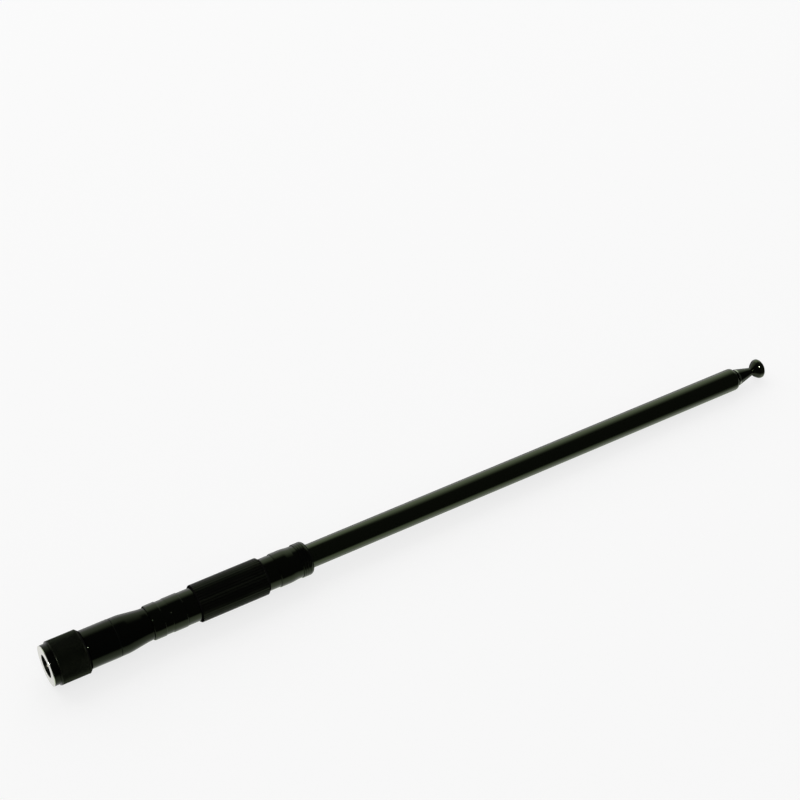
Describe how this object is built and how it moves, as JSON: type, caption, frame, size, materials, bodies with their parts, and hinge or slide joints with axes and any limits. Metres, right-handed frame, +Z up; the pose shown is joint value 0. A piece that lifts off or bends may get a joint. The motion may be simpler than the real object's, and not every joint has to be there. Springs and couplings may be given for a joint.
{
  "type": "telescopic antenna",
  "caption": "Telescopic whip antenna, shown collapsed, with a knurled coaxial screw connector, a splined grip and a domed tip cap.",
  "frame": {"origin": "centre of the connector's flat mating face, on the axis", "axes": "+X along the mast to the tip, -X out of the connector, +Z up with the antenna lying down"},
  "size_m": [0.242, 0.0128, 0.0128],
  "materials": {
    "black_metal": "gloss",
    "mast_metal": "gloss",
    "black_plastic": "gloss",
    "plated": "polished nickel",
    "brass": "satin",
    "gold": "polished",
    "insulator": "satin",
    "resin": "satin"
  },
  "bodies": {
    "base": {"retaining_ring": "brass", "plug_body": "plated", "dielectric": "insulator", "centre_pin": "gold", "housing": "black_plastic", "matching_coil": "resin", "mast_foot": "brass", "lower_collar": "black_metal", "grip_sleeve": "black_metal", "mast_bush": "insulator", "upper_collar": "black_metal", "end_ring": "black_metal", "mast_tube_1": "mast_metal"},
    "coupling": {"coupling_sleeve": "black_metal", "threaded_insert": "plated"},
    "section_2": {"mast_tube_2": "mast_metal", "slide_spring_1": "brass"},
    "section_3": {"mast_tube_3": "mast_metal", "slide_spring_2": "brass"},
    "section_4": {"mast_tube_4": "mast_metal", "slide_spring_3": "brass"},
    "section_5": {"mast_tube_5": "mast_metal", "slide_spring_4": "brass", "tip_cap": "black_metal"}
  },
  "joints": [
    {"name": "coupling_spin", "type": "hinge", "parent": "base", "child": "coupling", "pos_m": [0.005, 0, 0], "axis": [1, 0, 0], "continuous": true},
    {"name": "section_2_slide", "type": "slide", "parent": "base", "child": "section_2", "axis": [1, 0, 0], "range_m": [0, 0.1735]},
    {"name": "section_3_slide", "type": "slide", "parent": "section_2", "child": "section_3", "axis": [1, 0, 0], "range_m": [0, 0.168]},
    {"name": "section_4_slide", "type": "slide", "parent": "section_3", "child": "section_4", "axis": [1, 0, 0], "range_m": [0, 0.162]},
    {"name": "section_5_slide", "type": "slide", "parent": "section_4", "child": "section_5", "axis": [1, 0, 0], "range_m": [0, 0.1565]}
  ]
}
